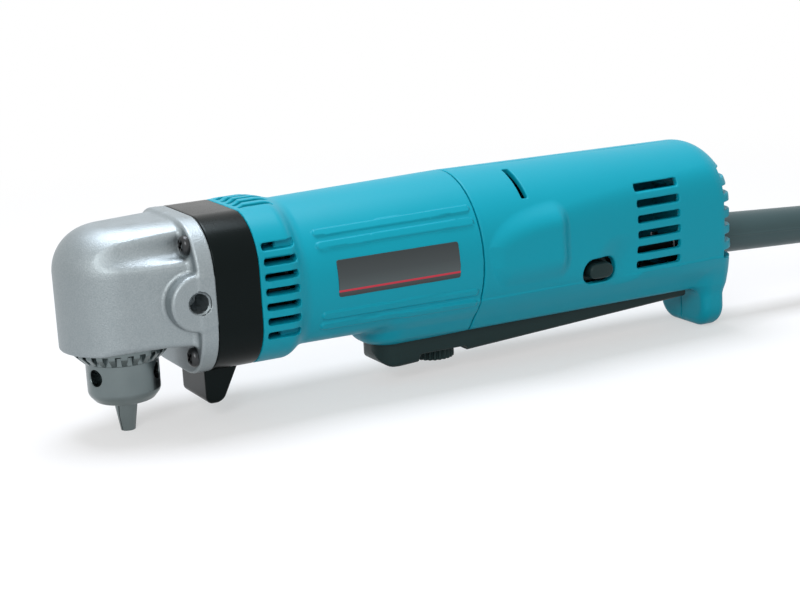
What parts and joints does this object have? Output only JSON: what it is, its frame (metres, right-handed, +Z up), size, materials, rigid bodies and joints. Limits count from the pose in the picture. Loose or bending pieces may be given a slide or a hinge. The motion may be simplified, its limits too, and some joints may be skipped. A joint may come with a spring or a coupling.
{
  "type": "right angle drill",
  "caption": "Corded right angle drill: cast angle head with a keyed chuck, teal motor barrel, two-shell handle with a paddle lever, speed dial, lock button and coiled cord.",
  "frame": {"origin": "on the floor under the middle of the drill, which stands on its jaw tips and rear foot", "axes": "+X from the chuck to the tail, +Z up, -Y the side with the lock button"},
  "size_m": [0.6555, 0.0755, 0.0768],
  "materials": {
    "cast_alloy": "satin, fine blasted casting",
    "bright_steel": "turned and polished",
    "gear_steel": "dark oiled steel",
    "core_steel": "stacked laminations",
    "black_plastic": "satin black moulding",
    "teal_plastic": "satin teal moulding",
    "plate_metal": "grey plate with a thin red line",
    "copper_winding": "enamelled copper",
    "brass_fitting": "plain brass",
    "carbon": "pressed carbon",
    "pale_plastic": "natural nylon",
    "capacitor_case": "moulded box",
    "guard_rubber": "dark grey moulded rubber",
    "cord_rubber": "black rubber"
  },
  "bodies": {
    "housing": {"gear_case": "cast_alloy", "upper_bearing": "bright_steel", "lower_bearing": "bright_steel", "pinion_bearing": "bright_steel", "front_bearing": "bright_steel", "rear_bearing": "bright_steel", "lever_pin": "bright_steel", "lever_spring": "bright_steel", "lock_spring": "bright_steel", "clamp_screws": "bright_steel", "plug_blades": "bright_steel", "case_screws": "gear_steel", "handle_screws": "gear_steel", "bearing_box": "gear_steel", "field_core": "core_steel", "spacer_ring": "black_plastic", "fan_baffle": "black_plastic", "rear_bracket": "black_plastic", "switch_body": "black_plastic", "cord_clamp": "black_plastic", "motor_housing": "teal_plastic", "handle_left": "teal_plastic", "handle_right": "teal_plastic", "rating_plate": "plate_metal", "field_coils": "copper_winding", "brush_holders": "brass_fitting", "pinion_bush": "brass_fitting", "brushes": "carbon", "capacitor": "capacitor_case", "cord_guard": "guard_rubber", "inner_lead": "cord_rubber", "cord": "cord_rubber", "cord_coil": "cord_rubber", "cord_end": "cord_rubber", "cord_tie": "cord_rubber", "plug_body": "cord_rubber"},
    "gear_shaft": {"bevel_pinion": "gear_steel", "reduction_gear": "gear_steel"},
    "armature": {"armature_shaft": "bright_steel", "armature_core": "core_steel", "armature_winding": "copper_winding", "commutator": "copper_winding", "fan": "pale_plastic"},
    "chuck": {"spindle": "bright_steel", "bevel_gear": "gear_steel", "chuck_body": "bright_steel"},
    "sleeve": {"chuck_sleeve": "bright_steel"},
    "jaw_a": {"jaw_1": "gear_steel"},
    "jaw_b": {"jaw_2": "gear_steel"},
    "jaw_c": {"jaw_3": "gear_steel"},
    "paddle": {"lever": "black_plastic"},
    "plunger": {"switch_plunger": "pale_plastic"},
    "dial": {"speed_dial": "black_plastic"},
    "lock": {"lock_button": "black_plastic"}
  },
  "joints": [
    {"name": "gear_shaft_spin", "type": "hinge", "parent": "housing", "child": "gear_shaft", "pos_m": [-0.0915, 0, 0.058], "axis": [1, 0, 0], "continuous": true},
    {"name": "armature_spin", "type": "hinge", "parent": "housing", "child": "armature", "pos_m": [0, 0, 0.0468], "axis": [1, 0, 0], "continuous": true},
    {"name": "chuck_spin", "type": "hinge", "parent": "housing", "child": "chuck", "pos_m": [-0.114, 0, 0.03], "axis": [0, 0, 1], "continuous": true},
    {"name": "sleeve_turn", "type": "hinge", "parent": "chuck", "child": "sleeve", "pos_m": [-0.114, 0, 0.03], "axis": [0, 0, 1], "range_deg": [0, 3300]},
    {"name": "jaw_a_slide", "type": "slide", "parent": "chuck", "child": "jaw_a", "axis": [0.2865, 0.1158, 0.9511], "range_m": [0, 0.01375]},
    {"name": "jaw_b_slide", "type": "slide", "parent": "chuck", "child": "jaw_b", "axis": [-0.2435, 0.1902, 0.9511], "range_m": [0, 0.01375]},
    {"name": "jaw_c_slide", "type": "slide", "parent": "chuck", "child": "jaw_c", "axis": [-0.043, -0.306, 0.9511], "range_m": [0, 0.01375]},
    {"name": "lever_swing", "type": "hinge", "parent": "housing", "child": "paddle", "pos_m": [0.1155, 0, 0.0213], "axis": [0, 1, 0], "range_deg": [0, 2.6], "stiffness_Nm_per_rad": 10, "springref_deg": -2.86, "deforming": ["lever_spring"]},
    {"name": "plunger_slide", "type": "slide", "parent": "housing", "child": "plunger", "axis": [0, 0, 1], "range_m": [0, 0.0014]},
    {"name": "dial_turn", "type": "hinge", "parent": "paddle", "child": "dial", "pos_m": [0.01, 0, 0.008], "axis": [0, 0, 1], "range_deg": [-135, 135]},
    {"name": "lock_slide", "type": "slide", "parent": "housing", "child": "lock", "axis": [0, 1, 0], "range_m": [0, 0.0025], "stiffness_N_per_m": 400, "springref_m": -0.002, "deforming": ["lock_spring"]}
  ],
  "couplings": [
    {"joint": "armature_spin", "follows": "gear_shaft_spin", "ratio": -3},
    {"joint": "chuck_spin", "follows": "gear_shaft_spin", "ratio": 0.33333},
    {"joint": "jaw_a_slide", "follows": "sleeve_turn", "m_per_rad": 0.0002387},
    {"joint": "jaw_b_slide", "follows": "sleeve_turn", "m_per_rad": 0.0002387},
    {"joint": "jaw_c_slide", "follows": "sleeve_turn", "m_per_rad": 0.0002387},
    {"joint": "plunger_slide", "follows": "lever_swing", "m_per_rad": 0.0295}
  ]
}
